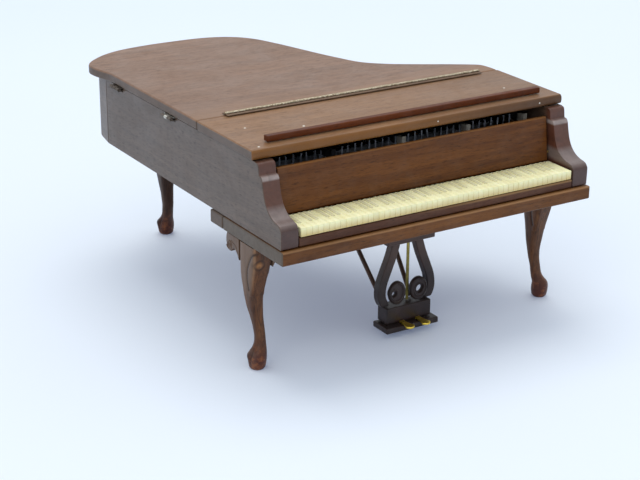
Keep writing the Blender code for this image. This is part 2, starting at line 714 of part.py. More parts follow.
def ear(name, corner, away, top):
    """A scrolled knee bracket beside a leg, standing away from it along x or along y."""
    bm = bmesh.new()
    turn = np.arctan2(away[1], away[0])
    half = EAR_THICK / 2

    def place(u, v, w):
        x = corner[0] + u * math.cos(turn) - w * math.sin(turn)
        y = corner[1] + u * math.sin(turn) + w * math.cos(turn)
        return (x, y, top + v)

    outline = [(u * MM, v * MM) for u, v in EAR]
    eye = ring(EAR_EYE[0] * MM, EAR_EYE[1] * MM, EAR_EYE_RADIUS, 10)
    add_plate(bm, [outline, eye], -half, half, place)
    finish(bm, name, WALNUT)


def legs():
    bed = BED_BOTTOM - GAP
    under = CASE_BOTTOM - GAP
    x, y = (value * MM for value in FRONT_LEG)
    half_x, half_y = FRONT_LEG_HALF
    edge_x = half_x - EAR_THICK / 2 - 0.1 * MM
    edge_y = half_y - EAR_THICK / 2 - 0.2 * MM
    for side, name in ((-1, "bass"), (1, "treble")):
        leg(f"leg_{name}", (side * FRONT_LEG[0], FRONT_LEG[1]), side, FRONT_LEG_SECTIONS)
        beside = (side * (x + edge_x), y + half_y + GAP)
        ear(f"ear_{name}_side", beside, (0, 1), bed)
        before = (side * (x - half_x - GAP), y - edge_y)
        ear(f"ear_{name}_front", before, (-side, 0), bed)
    leg("leg_rear", REAR_LEG, 1, REAR_LEG_SECTIONS)
    rear_x, rear_y = (value * MM for value in REAR_LEG)
    clear = REAR_LEG_HALF + GAP
    ear("ear_rear_bass", (rear_x - clear, rear_y), (-1, 0), under)
    ear("ear_rear_treble", (rear_x + clear, rear_y), (1, 0), under)


def ribbon(points, width):
    """Outline of a band of the given width along a smooth line."""
    line = spline(points, 4)
    left = inset(line, width / 2)
    right = inset(line, -width / 2)
    left[0][1] = right[0][1] = line[0][1]
    left[-1][1] = right[-1][1] = line[-1][1]
    return [tuple(p) for p in left] + [tuple(p) for p in right[::-1]]


def lyre():
    box("lyre_block", EBONISED, LYRE_BLOCK, 0.4 * MM)
    box("lyre_base", EBONISED, LYRE_BASE, 0.4 * MM)
    box("lyre_foot_plate", EBONISED, LYRE_FOOT, 0.4 * MM)
    depth = (LYRE_Y - POST_DEPTH / 2, LYRE_Y + POST_DEPTH / 2)
    for side, name in ((-1, "bass"), (1, "treble")):
        line = [(LYRE_X / MM + side * x, z) for x, z in POST_LINE]
        plate(f"lyre_post_{name}", EBONISED, [ribbon(line, POST_WIDTH)], *depth, along)
        pedal(f"pedal_{name}", LYRE_X + side * PEDAL_X)
    for name, x, z, wide, tall, eye_x, eye in SCROLLS:
        outer = [(x * MM + u * wide, z * MM + v * tall) for u, v in ring(0, 0, MM, 28)]
        hole = ring(eye_x * MM, z * MM, eye * MM, 16)
        plate(f"lyre_scroll_{name}", EBONISED, [outer, hole], *SCROLL_DEPTH, along)
    for name, low, high in BRACES:
        ends = (Vector(low) * MM, Vector(high) * MM)
        rod(f"lyre_brace_{name}", EBONISED, *ends, BRACE_RADIUS, 12)
    y = LYRE_Y + 0.5 * MM
    low = LYRE_BASE[5] * MM + GAP
    high = LYRE_BLOCK[2] * MM - GAP
    rod("pedal_rod", BRASS, (ROD_X, y, low), (ROD_X, y, high), ROD_RADIUS, 12)


def pedal(name, x):
    """A flat brass pedal on the foot plate, wider and round at its front."""
    wide = 1.6 * MM
    narrow = 0.9 * MM
    tip = PEDAL_FRONT + wide
    round_end = []
    for angle in np.linspace(math.pi, 2 * math.pi, 9):
        round_end.append((x + wide * math.cos(angle), tip + wide * math.sin(angle)))
    neck = tip + 2.4 * MM
    waist = [(x + narrow, neck), (x + narrow, PEDAL_BACK)]
    waist += [(x - narrow, PEDAL_BACK), (x - narrow, neck)]
    low = LYRE_FOOT[5] * MM + GAP
    plate(name, BRASS, [round_end + waist], low, low + PEDAL_THICK)


def centre_on_floor():
    """Moves the piano so that the middle of its bounding box's bottom is the origin."""
    bpy.context.view_layer.update()
    corners = []
    for made in bpy.context.scene.objects:
        corners += [made.matrix_world @ Vector(corner) for corner in made.bound_box]
    low = np.min(corners, axis=0)
    high = np.max(corners, axis=0)
    shift = Vector((-(low[0] + high[0]) / 2, -(low[1] + high[1]) / 2, 0))
    for made in bpy.context.scene.objects:
        made.location += shift
    bpy.context.view_layer.update()


def main():
    for old in list(bpy.data.objects):
        bpy.data.objects.remove(old)
    bed_and_keys()
    case()
    inner_boards()
    struts()
    tuning_pins()
    strings()
    fallboard()
    lid()
    spine_hinge(SPINE_HINGES[0], "front")
    spine_hinge(SPINE_HINGES[1], "rear")
    long_hinge()
    lid_prop()
    legs()
    lyre()
    centre_on_floor()


main()
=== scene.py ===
import json
import math
import random

import bmesh
import bpy
import numpy as np
from mathutils import Matrix, Vector, noise

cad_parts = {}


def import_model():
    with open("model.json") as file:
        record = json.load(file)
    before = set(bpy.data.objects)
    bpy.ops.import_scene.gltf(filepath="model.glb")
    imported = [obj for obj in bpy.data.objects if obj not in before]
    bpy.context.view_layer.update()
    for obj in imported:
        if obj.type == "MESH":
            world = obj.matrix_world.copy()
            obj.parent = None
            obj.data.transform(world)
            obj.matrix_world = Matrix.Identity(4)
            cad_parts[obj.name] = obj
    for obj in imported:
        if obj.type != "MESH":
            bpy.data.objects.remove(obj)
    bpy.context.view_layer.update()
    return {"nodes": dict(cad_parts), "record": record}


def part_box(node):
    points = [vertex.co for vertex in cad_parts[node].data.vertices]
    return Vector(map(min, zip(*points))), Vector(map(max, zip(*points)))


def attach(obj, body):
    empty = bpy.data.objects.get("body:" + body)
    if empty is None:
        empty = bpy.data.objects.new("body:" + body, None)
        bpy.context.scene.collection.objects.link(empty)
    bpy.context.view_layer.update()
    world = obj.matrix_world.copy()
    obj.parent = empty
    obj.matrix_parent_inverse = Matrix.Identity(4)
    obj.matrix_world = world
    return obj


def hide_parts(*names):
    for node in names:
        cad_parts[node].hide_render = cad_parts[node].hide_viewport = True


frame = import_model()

MM = 0.001
NODES = frame["nodes"]
BODY_OF = {}
for body_name, body_members in frame["record"]["behaviour"]["bodies"].items():
    for member in body_members:
        BODY_OF[member] = body_name

KEY_BED_LOW, KEY_BED_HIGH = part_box("key_bed")
ORIGIN = Vector(((KEY_BED_LOW.x + KEY_BED_HIGH.x) / 2, KEY_BED_LOW.y, 0.0))


def at(x, y, z):
    """A point given in millimetres from the middle of the key bed's front edge, on the floor."""
    return ORIGIN + Vector((x, y, z)) * MM


# ---------------------------------------------------------------- node trees

class Tree:
    """Short hand for building one material's nodes."""

    def __init__(self, name, **sockets):
        self.material = bpy.data.materials.new(name)
        self.material.use_nodes = True
        self.nodes = self.material.node_tree.nodes
        self.links = self.material.node_tree.links
        self.shader = self.nodes["Principled BSDF"]
        for key, value in sockets.items():
            self.shader.inputs[key.replace("_", " ")].default_value = value
        self.place = self.nodes.new("ShaderNodeTexCoord").outputs["Object"]

    def put(self, socket, value):
        if isinstance(value, bpy.types.NodeSocket):
            self.links.new(value, socket)
        else:
            socket.default_value = value

    def scaled(self, scale, offset=(0, 0, 0)):
        node = self.nodes.new("ShaderNodeMapping")
        node.inputs["Scale"].default_value = scale
        node.inputs["Location"].default_value = offset
        self.links.new(self.place, node.inputs["Vector"])
        return node.outputs["Vector"]

    def noise(self, scale, detail=4.0, roughness=0.55, distortion=0.0, vector=None):
        node = self.nodes.new("ShaderNodeTexNoise")
        node.inputs["Scale"].default_value = scale
        node.inputs["Detail"].default_value = detail
        node.inputs["Roughness"].default_value = roughness
        node.inputs["Distortion"].default_value = distortion
        self.links.new(vector or self.place, node.inputs["Vector"])
        return node.outputs["Fac"]

    def ramp(self, value, low, high, start=0.0, end=1.0):
        node = self.nodes.new("ShaderNodeMapRange")
        node.inputs["From Min"].default_value = low
        node.inputs["From Max"].default_value = high
        node.inputs["To Min"].default_value = start
        node.inputs["To Max"].default_value = end
        self.links.new(value, node.inputs["Value"])
        return node.outputs["Result"]

    def math(self, operation, first, second=0.0):
        node = self.nodes.new("ShaderNodeMath")
        node.operation = operation
        self.put(node.inputs[0], first)
        self.put(node.inputs[1], second)
        return node.outputs["Value"]

    def mix(self, factor, first, second, kind="MIX"):
        node = self.nodes.new("ShaderNodeMix")
        node.data_type = "RGBA"
        node.blend_type = kind
        self.put(node.inputs[0], factor)
        for socket, value in ((node.inputs[6], first), (node.inputs[7], second)):
            self.put(socket, (*value, 1.0) if isinstance(value, tuple) else value)
        return node.outputs[2]

    def axis(self, letter):
        node = self.nodes.new("ShaderNodeSeparateXYZ")
        self.links.new(self.place, node.inputs["Vector"])
        return node.outputs[letter]

    def spot(self, centre, radius):
        """1 inside a small ragged spot round a point of the piano's own frame, else 0."""
        node = self.nodes.new("ShaderNodeVectorMath")
        node.operation = "DISTANCE"
        self.links.new(self.place, node.inputs[0])
        node.inputs[1].default_value = at(*centre)
        ragged = self.math("MULTIPLY", self.noise(2400.0, 2.0), radius)
        return self.ramp(self.math("ADD", node.outputs["Value"], ragged), radius * 1.7, radius * 1.3)

    def attribute(self, name):
        node = self.nodes.new("ShaderNodeAttribute")
        node.attribute_name = name
        return node.outputs["Fac"]

    def bump(self, height, distance, strength=1.0, normal=None):
        node = self.nodes.new("ShaderNodeBump")
        node.inputs["Strength"].default_value = strength
        node.inputs["Distance"].default_value = distance
        self.links.new(height, node.inputs["Height"])
        if normal:
            self.links.new(normal, node.inputs["Normal"])
        return node.outputs["Normal"]

    def done(self, colour=None, roughness=None, normal=None):
        for key, value in (("Base Color", colour), ("Roughness", roughness), ("Normal", normal)):
            if value is not None:
                self.links.new(value, self.shader.inputs[key])
        return self.material


def along_axis(axis, along, across):
    """Scale of a mapping that stretches a pattern along one axis."""
    scale = [across] * 3
    scale[axis] = along
    return tuple(scale)


def wood(name, dark, light, worn, axis, seed=0.0, gloss=0.4, tone=0.35, streak=0.0, coat=0.1,
         spots=(), foot=False, zones=(), shine=0.3, coat_rough=0.3):
    """Lacquered wood with figure and pores along one axis, and rubbed edges."""
    t = Tree(name, Coat_Weight=coat, Coat_Roughness=coat_rough, Specular_IOR_Level=shine)
    shift = (seed, seed * 1.7, seed * 0.6)
    figure = t.noise(1.0, 7.0, 0.62, 0.9, t.scaled(along_axis(axis, 24.0, 360.0), shift))
    bands = t.noise(1.0, 3.0, 0.5, 0.4, t.scaled(along_axis(axis, 9.0, 75.0), shift))
    pores = t.noise(1.0, 2.0, 0.5, 0.0, t.scaled(along_axis(axis, 380.0, 5200.0), shift))
    pore = t.ramp(pores, 0.55, 0.68)
    base = t.mix(t.ramp(figure, 0.3, 0.7), dark, light)
    base = t.mix(t.ramp(bands, 0.3, 0.72, 0.0, tone), base, dark)
    base = t.mix(t.math("MULTIPLY", pore, 0.6), base, tuple(c * 0.35 for c in dark))
    if streak:
        lines = t.noise(1.0, 5.0, 0.6, 1.6, t.scaled(along_axis(axis, 60.0, 700.0), shift))
        base = t.mix(t.ramp(lines, 0.5, 0.66, 0.0, streak), base, tuple(c * 0.25 for c in dark))
    grain = t.ramp(figure, 0.2, 0.8, 0.7, 1.25)
    for inside, colour in zones:
        base = t.mix(inside(t), base, t.mix(1.0, colour, grain, "MULTIPLY"))
    rub = t.noise(380.0, 5.0, 0.7)
    edge = t.math("MULTIPLY", t.attribute("edge"), t.ramp(rub, 0.3, 0.58))
    base = t.mix(edge, base, worn)
    dust = t.noise(160.0, 6.0, 0.7)
    base = t.mix(t.ramp(dust, 0.45, 0.8, 0.0, 0.05), base, (0.34, 0.31, 0.28))
    if foot:
        low = t.ramp(t.axis("Z"), 11 * MM, 4 * MM, 0.0, 0.75)
        base = t.mix(low, base, t.mix(t.ramp(rub, 0.5, 0.62), (0.06, 0.012, 0.008), (0.22, 0.07, 0.025)))
    # Painted shade: darker in the legs' carved lines, round their knobs and on their heels
    base = t.mix(t.math("MULTIPLY", t.attribute("groove_shade"), 0.85), base, tuple(c * 0.2 for c in dark))
    for centre, radius in spots:
        base = t.mix(t.spot(centre, radius * MM), base, (0.85, 0.83, 0.75))
    smear = t.noise(55.0, 4.0, 0.6, 1.0)
    rough = t.math("ADD", t.ramp(smear, 0.3, 0.7, gloss - 0.06, gloss + 0.1), t.math("MULTIPLY", pore, 0.15))
    height = t.math("SUBTRACT", t.math("MULTIPLY", figure, 0.35), pore)
    return t.done(base, rough, t.bump(height, 0.00003, 0.55))


def brass(name, colour=(0.62, 0.47, 0.2), tarnish=(0.16, 0.1, 0.04), amount=0.5, rough=0.32, speckle=0.0,
          crown=None, metallic=1.0):
    """Aged brass; a crown (height, colour) is rubbed bright above that height."""
    t = Tree(name, Metallic=metallic)
    patches = t.noise(350.0, 6.0, 0.65, 0.6)
    fine = t.noise(2600.0, 4.0, 0.6)
    base = t.mix(t.ramp(patches, 0.4, 0.68, 0.0, amount), colour, tarnish)
    if crown:
        rubbed = t.ramp(t.axis("Z"), crown[0] * MM, (crown[0] + 0.2) * MM)
        base = t.mix(t.math("MULTIPLY", rubbed, t.ramp(fine, 0.4, 0.56, 0.25, 0.95)), base, crown[1])
        leaf_top = (crown[0] - 0.15) * MM
        t.links.new(
            t.ramp(t.axis("Z"), leaf_top, leaf_top + 0.1 * MM, 0.1, 1.0), t.shader.inputs["Metallic"]
        )
    if speckle:
        bright = t.ramp(fine, 0.5, 0.6, 0.0, speckle)
        if crown:
            bright = t.math("MULTIPLY", bright, t.ramp(t.axis("Z"), (crown[0] - 0.2) * MM, crown[0] * MM))
        base = t.mix(bright, base, (0.95, 0.9, 0.75))
    roughness = t.ramp(patches, 0.3, 0.7, rough - 0.08, rough + 0.22)
    return t.done(base, roughness, t.bump(fine, 0.00002, 0.4))


def iron(name, colour=(0.02, 0.021, 0.024), light=(0.06, 0.06, 0.065), rough=0.45, pale=False):
    """Painted iron, which may be pale where a strut comes down in front of the pins."""
    t = Tree(name, Metallic=0.25)
    patches = t.noise(260.0, 5.0, 0.6)
    fine = t.noise(3500.0, 3.0, 0.6)
    base = t.mix(t.ramp(patches, 0.35, 0.7), colour, light)
    base = t.mix(t.ramp(fine, 0.55, 0.75, 0.0, 0.35), base, tuple(c * 2.2 for c in light))
    if pale:
        front = t.ramp(t.axis("Y"), at(0, 28.5, 0).y, at(0, 27.5, 0).y)
        base = t.mix(front, base, t.mix(patches, (0.6, 0.52, 0.4), (0.95, 0.92, 0.85)))
    roughness = t.ramp(patches, 0.3, 0.7, rough - 0.1, rough + 0.15)
    return t.done(base, roughness, t.bump(fine, 0.00003, 0.5))


def ivory(name):
    """Cream moulded keys, with painted shade in the slits between them and at the notches behind them, grey
    on the sharps that is partly worn paint and partly painted shade, soiling that varies a little from key to
    key, and darker and browner low on the front.
    """
    t = Tree(name, Coat_Weight=0.15, Coat_Roughness=0.35, Subsurface_Weight=0.08)
    t.shader.inputs["Subsurface Radius"].default_value = (0.0004, 0.0003, 0.00015)
    patches = t.noise(240.0, 5.0, 0.6)
    speck = t.noise(1900.0, 4.0, 0.65)
    base = t.mix(t.ramp(patches, 0.3, 0.7), (0.87, 0.82, 0.45), (0.96, 0.94, 0.6))
    base = t.mix(t.ramp(speck, 0.58, 0.78, 0.0, 0.15), base, (0.5, 0.4, 0.18))
    # Darker and browner towards the bottom of the key fronts
    low = t.ramp(t.axis("Z"), 51.0 * MM, 49.0 * MM, 0.0, 0.8)
    base = t.mix(low, base, (0.62, 0.44, 0.14))
    # Painted shade in the slits and at the notches, with real soiling on each key
    grime_and_shade = t.math("MULTIPLY", t.attribute("grime_and_shade"), t.ramp(speck, 0.1, 0.6))
    base = t.mix(grime_and_shade, base, (0.4, 0.36, 0.25))
    rough = t.ramp(patches, 0.3, 0.7, 0.34, 0.5)
    return t.done(base, rough, t.bump(speck, 0.00002, 0.35))


def before(y, width=0.3):
    """A zone in front of y, in millimetres of the piano's own frame."""
    return lambda t: t.ramp(t.axis("Y"), at(0, y, 0).y, at(0, y - width, 0).y)


def above(z, width=0.3):
    return lambda t: t.ramp(t.axis("Z"), z * MM, (z + width) * MM)


def near_middle(x, width=0.15):
    """A zone less than x from the middle plane."""
    def inside(t):
        across = t.math("ABSOLUTE", t.math("SUBTRACT", t.axis("X"), ORIGIN.x))
        return t.ramp(across, x * MM, (x - width) * MM)
    return inside


def right_of(x, width):
    return lambda t: t.ramp(t.axis("X"), at(x, 0, 0).x, at(x + width, 0, 0).x)


def both(first, second):
    return lambda t: t.math("MULTIPLY", first(t), second(t))


def band(z, half):
    """A zone that fades out at half its height above and below z."""
    def inside(t):
        away = t.math("ABSOLUTE", t.math("SUBTRACT", t.axis("Z"), z * MM))
        return t.ramp(away, half * MM, half * 0.4 * MM)
    return inside


def outside(zone):
    return lambda t: t.math("SUBTRACT", 1.0, zone(t))


# Zones and heights that several materials share, in millimetres of the piano's own frame
ARM_FACE = both(before(18.0, 2.5), near_middle(57.62))
# Below 71.35 mm the vertical edge faces of the lid and the flap are painted a darker grey-brown: painted
# shade and grey sheen
LID_EDGE = outside(above(71.35))
FLAP_NOSE = before(17.65, 0.35)
# Painted shade and grey sheen for those edge faces
EDGE_SHADE_AND_SHEEN = (0.1, 0.068, 0.05)
HINGE_CROWN = 72.75

# Pale flecks on the flap as (place, radius)
FLECKS = (
    ((-32.5, 30.4, 72.0), 0.4), ((-49.1, 37.8, 72.0), 0.35), ((46.4, 32.6, 72.0), 0.35),
    ((-54.6, 19.6, 72.0), 0.35), ((8.5, 17.0, 70.6), 0.22), ((49.0, 17.0, 70.4), 0.25),
)

LOOKS = {
    "lid": wood(
        "walnut_lid", (0.17, 0.092, 0.055), (0.27, 0.152, 0.094), (0.1, 0.055, 0.03), 0, 0.3, 0.42,
        # Painted sheen: the lid is painted warmer in front of 66 mm and left greyer behind it
        zones=((before(66.0, 14.0), (0.25, 0.135, 0.072)), (LID_EDGE, EDGE_SHADE_AND_SHEEN)),
    ),
    "flap": wood(
        "walnut_flap", (0.19, 0.093, 0.04), (0.3, 0.157, 0.072), (0.3, 0.135, 0.035), 0, 0.7, 0.42,
        spots=FLECKS,
        # Painted shade: the right part of the flap's top is painted darker, taking away the window light's
        # sheen there
        zones=((right_of(15.0, 60.0), (0.18, 0.1, 0.055)), (LID_EDGE, EDGE_SHADE_AND_SHEEN),
               # Painted shade: the flap's front face is painted darker and more orange than its top, and its
               # right half darker still
               (FLAP_NOSE, (0.17, 0.064, 0.009)),
               (both(FLAP_NOSE, right_of(0.0, 45.0)), (0.085, 0.036, 0.012))),
    ),
    "side": wood(
        "walnut_side", (0.055, 0.033, 0.02), (0.105, 0.065, 0.042), (0.15, 0.095, 0.065), 1, 1.1, 0.42,
        coat=0.4, coat_rough=0.22,
        # Painted shade: the arm fronts are painted redder and darker than the sheened sides, and darker again
        # on their lowest part
        zones=((ARM_FACE, (0.09, 0.031, 0.018)),
               (both(before(6.0, 3.0), ARM_FACE), (0.06, 0.027, 0.021)),
               # Painted highlights: pale grey bands on the arm's roll near 64.3 mm and on its low sweep near
               # 54.2 mm
               (both(ARM_FACE, band(64.3, 0.9)), (0.27, 0.215, 0.2)),
               (both(ARM_FACE, band(54.2, 2.6)), (0.17, 0.125, 0.115))),
    ),
    "rim": wood(
        "walnut_rim", (0.06, 0.036, 0.023), (0.115, 0.073, 0.049), (0.17, 0.105, 0.07), 1, 1.9, 0.42,
        coat=0.3,
    ),
    "fall": wood(
        "walnut_fallboard", (0.075, 0.022, 0.004), (0.165, 0.056, 0.009), (0.4, 0.17, 0.045), 0, 2.3,
        # Painted highlight: the board is painted lighter above 65.5 mm, where its top catches the light
        coat=0.05, zones=((above(65.5), (0.16, 0.062, 0.014)),), shine=0.2,
    ),
    "slip": wood(
        "walnut_key_slip", (0.055, 0.018, 0.008), (0.115, 0.043, 0.018), (0.24, 0.11, 0.04), 0, 3.1,
        # Painted highlight: a lighter ochre band along the top of the slip, fading in from left of the middle
        # towards the treble end
        zones=((both(above(47.5, 0.5), right_of(-12.0, 30.0)), (0.24, 0.13, 0.05)),), shine=0.2,
    ),
    "bed": wood(
        "walnut_key_bed", (0.075, 0.024, 0.004), (0.18, 0.064, 0.011), (0.4, 0.19, 0.07), 0, 4.3, coat=0.05,
        # Painted highlight: a lighter tan strip on the top of the front edge; painted grey sheen on the side
        # faces beyond 57.9 mm from the middle
        zones=((both(above(44.75, 0.3), before(1.5, 0.8)), (0.27, 0.135, 0.055)),
               (outside(near_middle(57.9, 0.1)), (0.1, 0.078, 0.06))), shine=0.22,
    ),
    "rail": wood("walnut_rail", (0.055, 0.034, 0.022), (0.11, 0.07, 0.046), (0.2, 0.14, 0.09), 0, 5.2),
    "ledge": wood(
        "mahogany_ledge", (0.07, 0.015, 0.003), (0.15, 0.036, 0.006), (0.3, 0.12, 0.035), 0, 6.1,
        coat=0.0, shine=0.15,
    ),
    "leg": wood(
        "walnut_leg", (0.055, 0.017, 0.005), (0.17, 0.064, 0.018), (0.42, 0.19, 0.06), 2, 7.4, 0.36, 0.4, 0.6,
        # Painted sheen: the outer faces of the legs are painted a lighter grey-tan than the front faces
        foot=True, zones=((outside(near_middle(57.6, 0.5)), (0.13, 0.075, 0.045)),), shine=0.25,
    ),
    "ear": wood(
        "walnut_ear", (0.06, 0.03, 0.016), (0.17, 0.1, 0.06), (0.3, 0.19, 0.11), 2, 7.6, 0.4, coat=0.2,
    ),
    # Painted shade: the rear leg and its ears are a darker copy of the front legs' walnut
    "rear_leg_in_shade": wood(
        "walnut_rear_leg", (0.025, 0.008, 0.003), (0.075, 0.028, 0.009), (0.16, 0.075, 0.03), 2, 7.9,
        0.4, 0.4, 0.5, foot=True, shine=0.2,
    ),
    "lyre": wood(
        "ebonised_lyre", (0.01, 0.005, 0.005), (0.028, 0.013, 0.012), (0.1, 0.06, 0.05), 2, 8.2, 0.36,
        zones=((above(19.0, 9.0), (0.06, 0.03, 0.021)),),
    ),
    "brace": wood("walnut_brace", (0.04, 0.017, 0.01), (0.1, 0.05, 0.032), (0.16, 0.08, 0.05), 2, 8.8, 0.4),
    "board": wood(
        "underside_board", (0.07, 0.032, 0.015), (0.15, 0.075, 0.038), (0.2, 0.12, 0.07), 1, 9.0, 0.6,
        coat=0.0,
    ),
    "spruce": wood(
        "spruce_soundboard", (0.3, 0.16, 0.06), (0.46, 0.28, 0.12), (0.5, 0.34, 0.17), 1, 9.7, 0.5,
    ),
    "brass": brass("aged_brass"),
    "bronze": brass("painted_over_brass", (0.1, 0.078, 0.062), (0.06, 0.045, 0.035), 0.7, 0.6, metallic=0.1),
    # Painted glint: a bright pale metal given to one spine hinge leaf so that it shows a glint on its knuckle
    "glint_metal": brass("bright_metal_for_glint", (0.72, 0.7, 0.64), (0.2, 0.17, 0.13), 0.75, 0.45),
    "hinge": brass(
        "hinge_brass", (0.15, 0.085, 0.045), (0.07, 0.035, 0.018), 0.6, 0.5, 0.55,
        (HINGE_CROWN, (0.62, 0.55, 0.38)),
    ),
    "pedal": brass("pedal_brass", (0.9, 0.66, 0.1), (0.3, 0.2, 0.03), 0.3, 0.3),
    "rod": brass("rod_brass", (0.35, 0.29, 0.09), (0.1, 0.09, 0.03), 0.6, 0.4),
    "iron": iron("black_iron"),
    "steel": brass("grey_steel", (0.55, 0.6, 0.68), (0.12, 0.13, 0.15), 0.45, 0.35),
    "pins": iron("blued_pins", (0.16, 0.18, 0.22), (0.5, 0.54, 0.62), 0.4),
    "posts": iron("pale_posts", pale=True),
    "keys": ivory("cream_keys"),
}


# ---------------------------------------------------------------- pieces

def stand_for(made, look, *nodes):
    """Gives a new piece its material and body, and hides the CAD nodes that it stands for."""
    made.data.materials.clear()
    made.data.materials.append(LOOKS[look])
    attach(made, BODY_OF[nodes[0]])
    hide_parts(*nodes)
    return made


def object_from(bm, name, angle=35.0):
    bmesh.ops.recalc_face_normals(bm, faces=bm.faces)
    mesh = bpy.data.meshes.new(name)
    bm.to_mesh(mesh)
    bm.free()
    mesh.shade_smooth()
    mesh.set_sharp_from_angle(angle=math.radians(angle))
    made = bpy.data.objects.new(name, mesh)
    bpy.context.collection.objects.link(made)
    return made


def clean_copy(node):
    """The CAD node's mesh with its triangles joined back into flat faces."""
    bm = bmesh.new()
    bm.from_mesh(NODES[node].data)
    bmesh.ops.remove_doubles(bm, verts=bm.verts, dist=1e-6)
    bmesh.ops.dissolve_limit(
        bm, angle_limit=math.radians(0.6), verts=bm.verts, edges=bm.edges, delimit={"NORMAL"}
    )
    return bm


def with_flat_faces(piece):
    """Keeps large faces looking flat beside their rounded edges."""
    normals = piece.modifiers.new("normals", "WEIGHTED_NORMAL")
    normals.keep_sharp = True
    return piece


def softened(node, look, width, segments=3, angle=38.0):
    """A copy of the node with rounded edges, which carry how worn they are."""
    bm = clean_copy(node)
    soften_edges(bm, width, segments, angle)
    return stand_for(with_flat_faces(object_from(bm, node + "_look", 50.0)), look, node)


def dress(look, *nodes):
    """Better material on CAD nodes whose shape is right."""
    for node in nodes:
        data = NODES[node].data
        if data.materials:
            for index in range(len(data.materials)):
                data.materials[index] = LOOKS[look]
        else:
            data.materials.append(LOOKS[look])


def smooth_line(points, steps):
    """Catmull-Rom curve through the points."""
    knots = np.array(points, float)
    knots = np.vstack([2 * knots[0] - knots[1], knots, 2 * knots[-1] - knots[-2]])
    line = []
    for index in range(1, len(knots) - 2):
        before, first, second, after = knots[index - 1:index + 3]
        for t in np.arange(steps) / steps:
            line.append(0.5 * (
                2 * first + (second - before) * t
                + (2 * before - 5 * first + 4 * second - after) * t ** 2
                + (3 * first - before - 3 * second + after) * t ** 3
            ))
    line.append(knots[-2])
    return np.array(line)


def add_slab(bm, outline, place, low, high):
    """Adds the closed outline as a slab from low to high; place(u, v, w) is in millimetres."""
    near = [bm.verts.new(place(u, v, low)) for u, v in outline]
    far = [bm.verts.new(place(u, v, high)) for u, v in outline]
    faces = [bm.faces.new(near), bm.faces.new(far[::-1])]
    for index in range(len(near)):
        after = (index + 1) % len(near)
        faces.append(bm.faces.new((near[index], far[index], far[after], near[after])))
    return faces


def soften_edges(bm, width, segments=3, angle=38.0, chosen=lambda edge: True):
    """Rounds the sharp edges that are chosen and marks the rounded faces as the worn ones."""
    bmesh.ops.recalc_face_normals(bm, faces=bm.faces)
    limit = math.radians(angle)
    sharp = [e for e in bm.edges if e.is_manifold and e.calc_face_angle(0.0) > limit and chosen(e)]
    made = bmesh.ops.bevel(
        bm, geom=sharp, offset=width, segments=segments, profile=0.5, affect="EDGES",
        clamp_overlap=True,
    )
    layer = bm.faces.layers.float.get("edge") or bm.faces.layers.float.new("edge")
    for face in made["faces"]:
        if face.is_valid:
            face[layer] = 1.0
    bmesh.ops.triangulate(bm, faces=[f for f in bm.faces if len(f.verts) > 4])


def add_tube(bm, path, radius, sides=10, taper=1.0):
    """Adds a round bar along a path of points in metres, thinner or thicker towards its end."""
    rings = []
    count = len(path)
    for index, point in enumerate(path):
        ahead = path[min(index + 1, count - 1)] - path[max(index - 1, 0)]
        turn = Vector((0, 0, 1)).rotation_difference(ahead)
        width = radius * (1 + (taper - 1) * index / (count - 1))
        section = []
        for side in range(sides):
            angle = 2 * math.pi * side / sides
            offset = turn @ Vector((width * math.cos(angle), width * math.sin(angle), 0))
            section.append(bm.verts.new(point + offset))
        rings.append(section)
    for first, second in zip(rings, rings[1:]):
        for side in range(sides):
            after = (side + 1) % sides
            bm.faces.new((first[side], first[after], second[after], second[side]))
    bm.faces.new(rings[0][::-1])
    bm.faces.new(rings[-1])


# The case, in millimetres
CASE_BOTTOM = 45.6
ARM_END = 16.5
NOTCH_DEPTH = 1.45
NOTCH_MARGIN = 0.4
ARM_ROUND = 0.32
SIDE_ROUND = 0.1
# Front edge of an arm as (y, z): upright, a small roll, a hollow sweep, the top
ARM_LOW = ((1.4, 45.6), (1.3, 50.7), (1.6, 51.8), (2.4, 52.7), (3.6, 53.1))
ARM_SWEEP = (
    (3.6, 53.1), (5.6, 53.5), (7.8, 54.5), (9.7, 56.2), (11.0, 58.5), (11.8, 61.2), (12.4, 64.0),
)
ARM_HEAD = ((12.4, 64.0), (13.1, 64.9), (14.2, 65.1))
ARM_TOP = ((14.2, 65.1), (14.5, 67.4), (14.9, 68.3), (15.8, 68.65))


def case_side(node):
    """A case side with a smooth arm at its front and the hinge notches of the CAD piece."""
    low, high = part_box(node)
    back = (high.y - ORIGIN.y) / MM
    front = np.vstack([smooth_line(ARM_LOW, 5), smooth_line(ARM_SWEEP, 6)[1:],
                       smooth_line(ARM_HEAD, 4)[1:], smooth_line(ARM_TOP, 4)[1:]])
    outline = [tuple(p) for p in front]
    top = outline[-1][1]
    if node == "bass_side":
        for hinge in ("front", "rear"):
            near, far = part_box(f"spine_hinge_{hinge}_case_leaf")
            first = (near.y - ORIGIN.y) / MM - NOTCH_MARGIN
            last = (far.y - ORIGIN.y) / MM + NOTCH_MARGIN
            floor = top - NOTCH_DEPTH
            outline += [(first, top), (first, floor), (last, floor), (last, top)]
    outline += [(back, top), (back, CASE_BOTTOM)]
    bm = bmesh.new()
    near_x = (low.x - ORIGIN.x) / MM
    far_x = (high.x - ORIGIN.x) / MM
    add_slab(bm, outline, lambda u, v, w: at(w, u, v), near_x, far_x)
    arm_end = at(0, ARM_END, 0).y
    soften_edges(bm, ARM_ROUND * MM, 4, 32.0, lambda e: max(v.co.y for v in e.verts) < arm_end)
    soften_edges(bm, SIDE_ROUND * MM, 2, 40.0, lambda e: min(v.co.y for v in e.verts) > arm_end)
    stand_for(with_flat_faces(object_from(bm, node + "_look", 40.0)), "side", node)


